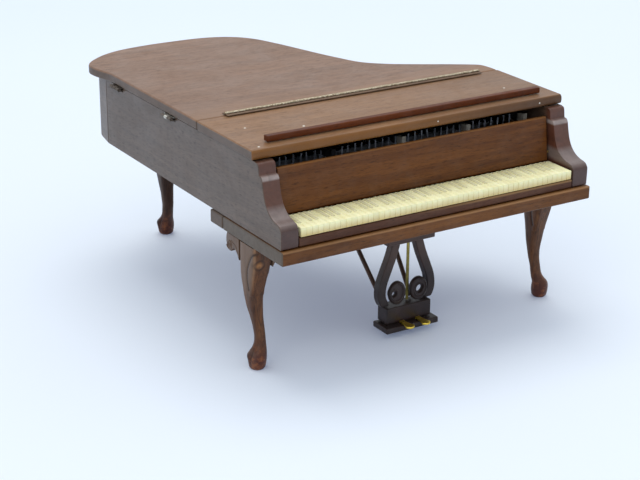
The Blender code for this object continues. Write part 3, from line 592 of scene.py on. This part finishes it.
# Legs: (height, offset outwards, offset backwards, half width, half depth, squareness)
FRONT_LEG = (
    (0.0, 0.9, -2.1, 2.0, 2.0, 2.0), (0.6, 0.9, -2.1, 2.55, 2.55, 2.0),
    (2.0, 0.9, -2.1, 2.85, 2.85, 2.0), (4.0, 0.85, -2.3, 2.9, 2.9, 2.0),
    (5.5, 0.7, -2.5, 2.65, 2.65, 2.0), (7.0, -0.1, -1.9, 2.15, 2.2, 2.0),
    (8.5, -0.5, -1.5, 1.8, 1.85, 2.05), (10.8, -0.65, -1.1, 1.7, 1.75, 2.2),
    (13.7, -0.65, -0.1, 1.75, 1.85, 2.4), (16.5, -0.45, 0.6, 1.9, 2.1, 2.7),
    (19.4, -0.15, 1.05, 2.2, 2.6, 3.0), (22.4, 0.1, 1.2, 2.35, 3.0, 3.4),
    (25.6, 0.2, 1.2, 2.5, 3.5, 3.8), (28.8, 0.2, 1.0, 2.7, 4.2, 4.4),
    (32.3, 0.1, 0.5, 3.0, 4.8, 5.0), (36.0, 0.0, 0.1, 3.15, 5.0, 6.0),
    (40.75, 0.0, 0.0, 3.15, 5.0, 6.0),
)
REAR_LEG = (
    (0.0, 0.6, 3.2, 2.1, 2.1, 2.0), (0.6, 0.6, 3.2, 2.65, 2.65, 2.0),
    (2.2, 0.6, 3.2, 3.0, 3.0, 2.0), (4.2, 0.6, 3.0, 3.0, 3.0, 2.0),
    (5.4, 0.5, 2.6, 2.75, 2.75, 2.0), (6.6, 0.3, 1.7, 2.35, 2.35, 2.0),
    (8.9, 0.1, 0.4, 2.0, 2.0, 2.1), (12.8, 0.0, -0.2, 2.0, 2.0, 2.4),
    (16.6, 0.0, 0.2, 2.15, 2.15, 2.8), (20.3, 0.0, 0.8, 2.45, 2.5, 3.2),
    (24.5, 0.0, 1.0, 2.95, 3.0, 3.8), (30.0, 0.0, 0.8, 3.5, 3.5, 4.6),
    (36.0, 0.0, 0.2, 3.9, 3.9, 6.0), (45.35, 0.0, 0.0, 3.9, 3.9, 6.0),
)
FRONT_LEG_X = 54.75
FRONT_LEG_Y = 21.8
REAR_LEG_CENTRE = (-27.9, 135.4)
LEG_SIDES = 80
LEG_RINGS = 170
FOOT_ROUND_TOP = 1.2
# The carved C on a leg's side faces, as (backwards, height) from the leg's middle
CARVED_LINE = (
    (-4.6, 38.9), (-3.5, 38.2), (-2.3, 36.6), (-0.9, 34.1), (-0.1, 31.6), (0.1, 29.0), (-0.5, 26.0),
)
CARVING_FROM = 24.0
CARVING_TO = 38.5
CARVED_WIDTH = 0.42
CARVED_DEPTH = 0.3
CARVED_STEP = 0.12
# The knob on the knee as (outwards, height)
KNOB = (1.2, 35.2)
KNOB_FROM = 30.0
KNOB_RADIUS = 1.0
KNOB_RISE = 0.35
KNOB_RING = 1.55
HEEL_HEIGHT = 4.6
HEEL_TOP = 9.0
HEEL_RISE = 0.55
HEEL_RIM = 0.3


def near_line(line, y, z):
    return float(np.sqrt(((line - (y, z)) ** 2).sum(axis=1)).min())


def leg_profile(sections):
    """Heights, and at each the leg's sections blended smoothly above the foot's round edge."""
    table = np.array(sections)
    heights = np.linspace(0.0, table[-1, 0], LEG_RINGS)
    columns = [np.interp(heights, table[:, 0], table[:, c]) for c in range(1, 6)]
    kernel = np.hanning(13)[1:-1]
    kernel /= kernel.sum()
    reach = len(kernel) // 2
    smooth = [np.convolve(np.pad(c, reach, mode="edge"), kernel, "valid") for c in columns]
    return heights, [np.where(heights < FOOT_ROUND_TOP, c, s) for c, s in zip(columns, smooth)]


def carved(line, back, height):
    """Depth of the carved C at a point of a side face, and how strongly the carved line is painted dark there
    as painted shade.
    """
    gap = near_line(line, back, height)
    cut = math.exp(-((gap / CARVED_WIDTH) ** 2))
    inside = back < np.interp(height, line[::-1, 1], line[::-1, 0]) and height < CARVING_TO
    return -CARVED_DEPTH * cut + (CARVED_STEP if inside else 0.0), cut


def leg(node, centre, side, sections, look, heel):
    """A cabriole leg with a softened arris, a carved C on each side and a knob on its knee.

    The foot has a small dark heel on the side that heel, -1 or 1 along X, gives.
    """
    heights, smooth = leg_profile(sections)
    line = smooth_line(CARVED_LINE, 8)
    bm = bmesh.new()
    edge = bm.verts.layers.float.new("edge")
    groove_shade = bm.verts.layers.float.new("groove_shade")
    rings = []
    for index, height in enumerate(heights):
        outwards, backwards, half_x, half_y, square = (c[index] for c in smooth)
        section = []
        for step in range(LEG_SIDES):
            angle = 2 * math.pi * (step + 0.5) / LEG_SIDES
            cos, sin = math.cos(angle), math.sin(angle)
            radius = (abs(cos) ** square + abs(sin) ** square) ** (-1 / square)
            x, y = half_x * radius * cos, half_y * radius * sin
            depth = 0.0
            cut = 0.0
            if abs(cos) * half_y > abs(sin) * half_x * 0.9 and height > CARVING_FROM:
                depth, cut = carved(line, y + backwards, height)
            raised = 0.0
            if sin < -0.5 and height > KNOB_FROM:
                away = math.hypot(x * side - KNOB[0], height - KNOB[1])
                raised = math.exp(-((away / KNOB_RADIUS) ** 4))
                depth += KNOB_RISE * raised
                # A dark ring round the knob, painted shade where a recess would be
                cut = max(cut, 0.7 * math.exp(-(((away - KNOB_RING) / 0.3) ** 2)))
            if height < HEEL_TOP:
                facing = heel * 0.86 * cos + 0.5 * sin
                level = height - HEEL_HEIGHT
                lobe = math.exp(-(((facing - 1.0) / 0.22) ** 2 + (level / 1.5) ** 2))
                rim = math.exp(-(((facing - 0.72) / 0.1) ** 2 + (level / 2.4) ** 2))
                depth += HEEL_RISE * lobe - HEEL_RIM * rim
                # The heel's sunken rim is painted dark as painted shade, and its lobe is painted dark as well
                cut = max(cut, 0.75 * lobe, 0.8 * rim)
            normal = Vector((cos / half_x, sin / half_y, 0)).normalized()
            wave = 0.05 * noise.noise(Vector((x * 0.5, y * 0.5, height * 0.35 + side * 9)))
            spot = Vector((x, y, 0)) + normal * (depth + wave)
            vertex = bm.verts.new(at(
                centre[0] + side * outwards + spot.x, centre[1] + backwards + spot.y, height
            ))
            corner = min(abs(x) / half_x, abs(y) / half_y)
            worn = max(0.0, min(1.0, (corner - 0.78) * 6)) if square > 2.3 else 0.0
            vertex[edge] = max(0.6 * raised, 0.75 * worn)
            # How strongly this point is painted dark as painted shade
            vertex[groove_shade] = cut
            section.append(vertex)
        rings.append(section)
    for lower, upper in zip(rings, rings[1:]):
        for step in range(LEG_SIDES):
            after = (step + 1) % LEG_SIDES
            bm.faces.new((lower[step], lower[after], upper[after], upper[step]))
    bm.faces.new(rings[0][::-1])
    bm.faces.new(rings[-1])
    stand_for(object_from(bm, node + "_look", 55.0), look, node)


# Outline of a knee ear in millimetres as (away from the leg, down from the top)
EAR = (
    (0.0, 0.0), (7.4, 0.0), (7.9, -1.5), (7.8, -3.4), (7.1, -4.9), (5.8, -5.6), (4.5, -5.3),
    (3.9, -4.4), (2.6, -4.2), (1.1, -5.2), (0.0, -7.0),
)
EAR_EYE = (5.95, -3.55)
EAR_SWEEP = ((4.6, -2.0), (3.2, -2.6), (1.8, -3.2), (0.6, -5.0))
EAR_HALF = 1.4
EAR_INSET = 0.12
RIDGE_INSET = 0.22
RIDGE_RADIUS = 0.3
SWEEP_RADIUS = 0.28


def spiral(centre, start, end, turns, phase, count=46):
    """Points (u, v) of a spiral that opens from one radius to another."""
    points = []
    for t in np.linspace(0, 1, count):
        radius = start + (end - start) * t
        angle = phase + turns * 2 * math.pi * t
        points.append((centre[0] + radius * math.cos(angle), centre[1] + radius * math.sin(angle)))
    return points


def ear(node, look):
    """A knee bracket with a round scroll at its tip, ridged on both faces."""
    low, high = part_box(node)
    middle = (low + high) / 2
    beside = node.endswith("side")
    leg_node = "leg_" + node.split("_")[1]
    leg_low, leg_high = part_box(leg_node)
    if beside:
        root, turn = Vector((middle.x, low.y, high.z)), Vector((0, 1, 0))
    elif middle.x > (leg_low.x + leg_high.x) / 2:
        root, turn = Vector((low.x, middle.y, high.z)), Vector((1, 0, 0))
    else:
        root, turn = Vector((high.x, middle.y, high.z)), Vector((-1, 0, 0))
    sideways = Vector((0, 0, 1)).cross(turn)

    def place(u, v, w):
        return root + (turn * u + Vector((0, 0, v)) + sideways * w) * MM

    curve = smooth_line(EAR[1:], 5)
    bm = bmesh.new()
    outline = [EAR[0]] + [tuple(p) for p in curve]
    add_slab(bm, outline, place, -EAR_HALF + EAR_INSET, EAR_HALF - EAR_INSET)
    soften_edges(bm, 0.45 * MM, 4, 40.0)
    for face in (-1, 1):
        level = face * (EAR_HALF - RIDGE_INSET)
        curl = spiral(EAR_EYE, 0.35, 1.75, 1.6, 2.2)
        add_tube(bm, [place(u, v, level) for u, v in curl], RIDGE_RADIUS * MM, 8, 1.0)
        sweep = smooth_line(EAR_SWEEP, 6)
        add_tube(bm, [place(u, v, level) for u, v in sweep], SWEEP_RADIUS * MM, 8, 0.7)
    stand_for(object_from(bm, node + "_look", 45.0), look, node)


# The keyboard, in millimetres
KEYS_HALF = 50.9
KEYS_FRONT = 1.3
KEYS_BACK = 12.9
KEYS_BOTTOM = 48.6
KEYS_TOP = 51.5
WHITE_KEYS = 52
KEY_SLIT = 0.07
FIRST_OCTAVE = 2
OCTAVE = 7
KEYS_WITHOUT_SHARP = (2, 6)
SHARP_FRONT = 5.2
SHARP_HALF = 0.55
SHARP_RISE = 0.24
NOTCH_HALF = 0.16
NOTCH_LENGTH = 0.75
NOTCH_RISE = 0.12
BLOCK_SUNK = 0.3


def keyboard():
    """Fifty-two moulded keys on one strip, with low sharps and small notches at the back."""
    half, front, back, top = KEYS_HALF, KEYS_FRONT, KEYS_BACK, KEYS_TOP
    width = 2 * half / WHITE_KEYS
    bm = bmesh.new()
    bm.faces.layers.float.new("grime_and_shade")

    def block(x0, y0, z0, x1, y1, z1, dirt_and_shade, bevel):
        outline = [(x0, y0), (x1, y0), (x1, y1), (x0, y1)]
        part = bmesh.new()
        add_slab(part, outline, at, z0, z1)
        bmesh.ops.recalc_face_normals(part, faces=part.faces)
        bmesh.ops.bevel(part, geom=list(part.edges), offset=bevel * MM, segments=2, affect="EDGES",
                        profile=0.5)
        layer = part.faces.layers.float.new("grime_and_shade")
        for face in part.faces:
            face[layer] = dirt_and_shade
        mesh = bpy.data.meshes.new("part")
        part.to_mesh(mesh)
        part.free()
        bm.from_mesh(mesh)
        bpy.data.meshes.remove(mesh)

    # The strip shows in the slits between keys; its value there is painted shade
    block(-half, front + 0.15, KEYS_BOTTOM, half, back, top - 0.25, 0.45, 0.05)
    for key in range(WHITE_KEYS):
        x = -half + key * width
        # Real soiling that differs from key to key
        dirt_and_shade = 0.05 + 0.12 * random.random()
        block(x + KEY_SLIT / 2, front, KEYS_BOTTOM + 0.05, x + width - KEY_SLIT / 2, back, top - 0.02,
              dirt_and_shade, 0.16)
    for key in range(WHITE_KEYS - 2):
        if (key - FIRST_OCTAVE) % OCTAVE not in KEYS_WITHOUT_SHARP:
            x = -half + (key + 1) * width
            # Grey on the sharps: partly worn paint, partly painted shade
            block(x - SHARP_HALF, SHARP_FRONT, top - BLOCK_SUNK, x + SHARP_HALF, back - 0.3,
                  top + SHARP_RISE, 0.62, 0.16)
    for key in range(1, WHITE_KEYS):
        x = -half + key * width
        # The notches are painted dark, a painted shade at the backs of the keys
        block(x - NOTCH_HALF, back - NOTCH_LENGTH, top - BLOCK_SUNK, x + NOTCH_HALF, back,
              top + NOTCH_RISE, 2.2, 0.05)
    stand_for(object_from(bm, "keyboard_look", 40.0), "keys", "keyboard")


# The row of tuning pins, in millimetres
STRIP_ENDS = (-49.9, 44.8)
STRIP_SIDES = (25.4, 26.6)
STRIP_THICK = 0.35
PIN_ENDS = (-49.0, 44.0)
PIN_ROW_Y = 26.0
PINS = 38
PIN_MIDDLE = 61.0
PIN_TOP = 65.1
PIN_RADIUS = 0.27
STRUT_MARGIN = 1.1
PIN_MARGIN = 1.5


def tuning_pins():
    """Slim blued pins in a row on their strip, each leaning a little its own way."""
    low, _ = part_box("tuning_pins")
    bm = bmesh.new()
    floor = low.z / MM
    struts = []
    for number in (1, 2, 3, 4):
        near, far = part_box(f"strut_{number}")
        struts.append(((near.x + far.x) / 2 - ORIGIN.x) / MM)
    cuts = [x for x in struts if x < PIN_ENDS[1]]
    left, end = STRIP_ENDS
    front, back = STRIP_SIDES
    for x in cuts + [end + 2 * STRUT_MARGIN]:
        right = min(x - STRUT_MARGIN, end)
        outline = [(left, front), (right, front), (right, back), (left, back)]
        add_slab(bm, outline, at, floor, floor + STRIP_THICK)
        left = x + STRUT_MARGIN
    for x in np.linspace(*PIN_ENDS, PINS):
        if min(abs(x - strut) for strut in struts) < PIN_MARGIN:
            continue
        lean_x = random.uniform(-0.35, 0.35)
        lean_y = random.uniform(-0.3, 0.3)
        top = PIN_TOP + random.uniform(-0.3, 0.1)
        path = [at(x, PIN_ROW_Y, floor + 0.2),
                at(x + lean_x / 2, PIN_ROW_Y + lean_y / 2, PIN_MIDDLE),
                at(x + lean_x, PIN_ROW_Y + lean_y, top)]
        add_tube(bm, path, PIN_RADIUS * MM, 8)
    stand_for(object_from(bm, "tuning_pins_look", 40.0), "pins", "tuning_pins")


# The long hinge, in millimetres
HINGE_PITCH = 0.82
HINGE_ENDS = (-48.3, 50.4)
HINGE_Y = 52.0
HINGE_Z = 72.72
HINGE_RADIUS = 0.5
LEAF_SIDES = (0.52, 1.9)
LEAF_BOTTOM = 72.27
LEAF_TOP = 72.57
TAB_TOP = 72.6
TAB_REACH = 0.7
TAB_SHARE = 0.42


def long_hinge():
    """A fine-knuckled brass hinge: one half turns with the flap and one with the main lid."""
    start, end = HINGE_ENDS
    count = int((end - start) / HINGE_PITCH)
    pitch = (end - start) / count
    for node, side, first in (("flap_hinge_flap_leaf", -1, 0), ("flap_hinge_lid_leaf", 1, 1)):
        bm = bmesh.new()
        inner, outer = sorted(HINGE_Y + side * reach for reach in LEAF_SIDES)
        outline = [(start, inner), (end, inner), (end, outer), (start, outer)]
        add_slab(bm, outline, at, LEAF_BOTTOM, LEAF_TOP)
        soften_edges(bm, 0.08 * MM, 2)
        for knuckle in range(first, count, 2):
            x = start + knuckle * pitch
            path = [at(x + pitch * t, HINGE_Y, HINGE_Z) for t in (0.02, 0.2, 0.5, 0.8, 0.98)]
            radius = HINGE_RADIUS * (0.92 + 0.08 * random.random())
            add_tube(bm, path, radius * MM, 12)
            x += pitch / 2
            near, far = sorted((HINGE_Y, HINGE_Y + side * TAB_REACH))
            left, right = x - pitch * TAB_SHARE, x + pitch * TAB_SHARE
            add_slab(bm, [(left, near), (right, near), (right, far), (left, far)], at, LEAF_BOTTOM, TAB_TOP)
        stand_for(object_from(bm, node + "_look", 40.0), "hinge", node)


SCROLL_FRONT = 17.4
SCROLL_BACK = 19.4
SCROLL_HEIGHT = 14.6
SCROLL_SIDES = 48


def scroll(node, centre_x, wide, tall, eye_x, eye):
    """A round scroll of the lyre: a thick ring with a ridge that winds in to its eye."""
    bm = bmesh.new()
    front, back = SCROLL_FRONT, SCROLL_BACK
    centre_z = SCROLL_HEIGHT

    def loops(middle_x, half_x, half_z, levels):
        made = []
        for y, grow in levels:
            loop = []
            for step in range(SCROLL_SIDES):
                angle = 2 * math.pi * step / SCROLL_SIDES
                loop.append(bm.verts.new(at(
                    middle_x + (half_x + grow) * math.cos(angle), y,
                    centre_z + (half_z + grow) * math.sin(angle),
                )))
            made.append(loop)
        return made

    outer = loops(centre_x, wide, tall, (
        (front + 0.5, 0), (front + 0.12, -0.28), (front, -0.6),
        (back, -0.6), (back - 0.12, -0.28), (back - 0.5, 0),
    ))
    hole = loops(eye_x, eye, eye, ((front, 0.3), (front + 0.3, 0.0), (back - 0.3, 0.0), (back, 0.3)))
    order = outer[2::-1] + outer[:2:-1] + hole[::-1]
    for first, second in zip(order, order[1:] + order[:1]):
        for step in range(SCROLL_SIDES):
            after = (step + 1) % SCROLL_SIDES
            bm.faces.new((first[step], first[after], second[after], second[step]))
    for y in (front + 0.05, back - 0.05):
        path = []
        for t in np.linspace(0, 1, 60):
            angle = 0.6 + 2 * math.pi * 1.15 * t
            share = 0.12 + 0.66 * t
            reach_x = eye + 0.35 + (wide - 0.5 - eye) * share
            reach_z = eye + 0.35 + (tall - 0.5 - eye) * share
            middle_x = eye_x + (centre_x - eye_x) * t
            path.append(at(middle_x + reach_x * math.cos(angle), y, centre_z + reach_z * math.sin(angle)))
        add_tube(bm, path, 0.22 * MM, 8, 1.4)
    stand_for(object_from(bm, node + "_look", 45.0), "lyre", node)


def detailed_parts():
    """Pieces that stand for CAD nodes: softened copies of them first, then shapes built anew."""
    softened("main_lid", "lid", 0.55 * MM, 4)
    softened("front_flap", "flap", 0.5 * MM, 4, 30.0)
    softened("music_ledge", "ledge", 0.2 * MM)
    case_side("bass_side")
    case_side("treble_side")
    softened("bent_side", "rim", 0.1 * MM, 2)
    softened("tail_rim", "rim", 0.1 * MM, 2)
    softened("fallboard", "fall", 0.25 * MM)
    softened("key_bed", "bed", 0.3 * MM)
    softened("leg_rail", "rail", 0.35 * MM)
    softened("key_slip", "slip", 0.25 * MM)
    softened("lyre_block", "lyre", 0.6 * MM)
    softened("lyre_base", "lyre", 0.3 * MM)
    softened("lyre_foot_plate", "lyre", 0.3 * MM)
    softened("lyre_post_bass", "lyre", 0.8 * MM, 4)
    softened("lyre_post_treble", "lyre", 0.8 * MM, 4)
    softened("bottom_board", "board", 0.15 * MM, 2)
    softened("soundboard", "spruce", 0.1 * MM, 2)
    softened("pin_block", "rail", 0.2 * MM, 2)
    softened("lid_prop", "rail", 0.15 * MM, 2)
    softened("pedal_bass", "pedal", 0.2 * MM, 3)
    softened("pedal_treble", "pedal", 0.2 * MM, 3)
    scroll("lyre_scroll_bass", -4.6, 3.15, 4.0, -6.0, 0.85)
    scroll("lyre_scroll_treble", 3.7, 3.3, 4.0, 3.9, 1.3)
    for node, side in (("leg_bass", -1), ("leg_treble", 1)):
        leg(node, (side * FRONT_LEG_X, FRONT_LEG_Y), side, FRONT_LEG, "leg", side)
    # The rear leg and its ears take the darker walnut, a painted shade
    leg("leg_rear", REAR_LEG_CENTRE, 1, REAR_LEG, "rear_leg_in_shade", -1)
    for node in sorted(NODES):
        if node.startswith("ear_"):
            ear(node, "rear_leg_in_shade" if "rear" in node else "ear")


def plain_parts():
    dress("brace", "lyre_brace_bass", "lyre_brace_treble")
    dress("rod", "pedal_rod")
    dress("iron", "harp_plate", "strut_1")
    dress("posts", "strut_2", "strut_3", "strut_4")
    dress("steel", "strings")
    dress("hinge", "flap_hinge_pin")
    # The front spine hinge's lid leaf takes the bright metal, a painted glint
    bright = "spine_hinge_front_lid_leaf"
    dress("bronze", *[n for n in NODES if n.startswith("spine_hinge") and n != bright])
    dress("glint_metal", bright)
    dress("brass", "fallboard_pin_bass", "fallboard_pin_treble", "prop_pin", "prop_cup")


# ---------------------------------------------------------------- stage

CAMERA_PLACE = (-0.28566, -0.46043, 0.22612)
CAMERA_LENS = 93.863
SENSOR_WIDTH = 36.0


def camera():
    """A long lens above the front bass corner, at the photograph's angle."""
    elevation, azimuth, roll = 0.3727, -0.5554, 0.0068
    forward = Vector((
        -math.sin(azimuth) * math.cos(elevation),
        math.cos(azimuth) * math.cos(elevation),
        -math.sin(elevation),
    ))
    right = Vector((math.cos(azimuth), math.sin(azimuth), 0.0))
    up = right.cross(forward)
    tilted = math.cos(roll) * right + math.sin(roll) * up
    above = math.cos(roll) * up - math.sin(roll) * right
    data = bpy.data.cameras.new("camera")
    data.sensor_width = SENSOR_WIDTH
    data.lens = CAMERA_LENS
    data.clip_start = 0.01
    data.clip_end = 50.0
    made = bpy.data.objects.new("camera", data)
    turn = Matrix((tilted, above, -forward)).transposed().to_4x4()
    made.matrix_world = Matrix.Translation(CAMERA_PLACE) @ turn
    bpy.context.collection.objects.link(made)
    bpy.context.scene.camera = made


def area_light(name, place, aim, size, power, colour):
    data = bpy.data.lights.new(name, "AREA")
    data.shape = "DISK"
    data.size = size
    data.energy = power
    data.color = colour
    made = bpy.data.objects.new(name, data)
    made.location = place
    made.rotation_euler = (Vector(aim) - Vector(place)).to_track_quat("-Z", "Y").to_euler()
    bpy.context.collection.objects.link(made)


def stage():
    """A pale floor with a faint blue glow, a painted glow that lifts the shadows, which turns bluer and
    darker with distance, a painted fall-off of the light; a pale world and two soft lights.
    """
    bm = bmesh.new()
    bmesh.ops.create_circle(bm, cap_ends=True, segments=64, radius=6.0)
    floor = object_from(bm, "floor")
    t = Tree("pale_floor")
    t.shader.inputs["Specular IOR Level"].default_value = 0.15
    # Painted glow: the floor emits faint blue light to lift the shadows on it
    t.shader.inputs["Emission Color"].default_value = (0.4, 0.52, 1.0, 1.0)
    t.shader.inputs["Emission Strength"].default_value = 0.125
    soft = t.noise(2.5, 2.0, 0.5)
    near = t.mix(t.ramp(soft, 0.3, 0.7), (0.69, 0.74, 0.78), (0.72, 0.77, 0.81))
    # Painted fall-off: the floor is painted bluer and darker further back
    colour = t.mix(t.ramp(t.axis("Y"), 0.1, 0.8), near, (0.58, 0.65, 0.77))
    floor.data.materials.append(t.done(colour, t.ramp(soft, 0.3, 0.7, 0.75, 0.85)))
    world = bpy.data.worlds.new("studio")
    world.use_nodes = True
    back = world.node_tree.nodes["Background"]
    back.inputs["Color"].default_value = (0.9, 0.95, 1.0, 1.0)
    back.inputs["Strength"].default_value = 0.88
    bpy.context.scene.world = world
    area_light("window", (0.12, 0.55, 1.7), (0, 0, 0.03), 1.4, 12.5, (1.0, 0.98, 0.95))
    area_light("fill", (-0.9, -0.7, 1.0), (0, 0, 0.04), 1.0, 3.0, (1.0, 0.95, 0.88))
    bpy.context.scene.view_settings.view_transform = "Standard"
    bpy.context.scene.view_settings.look = "None"


random.seed(7)
detailed_parts()
keyboard()
tuning_pins()
long_hinge()
plain_parts()
camera()
stage()
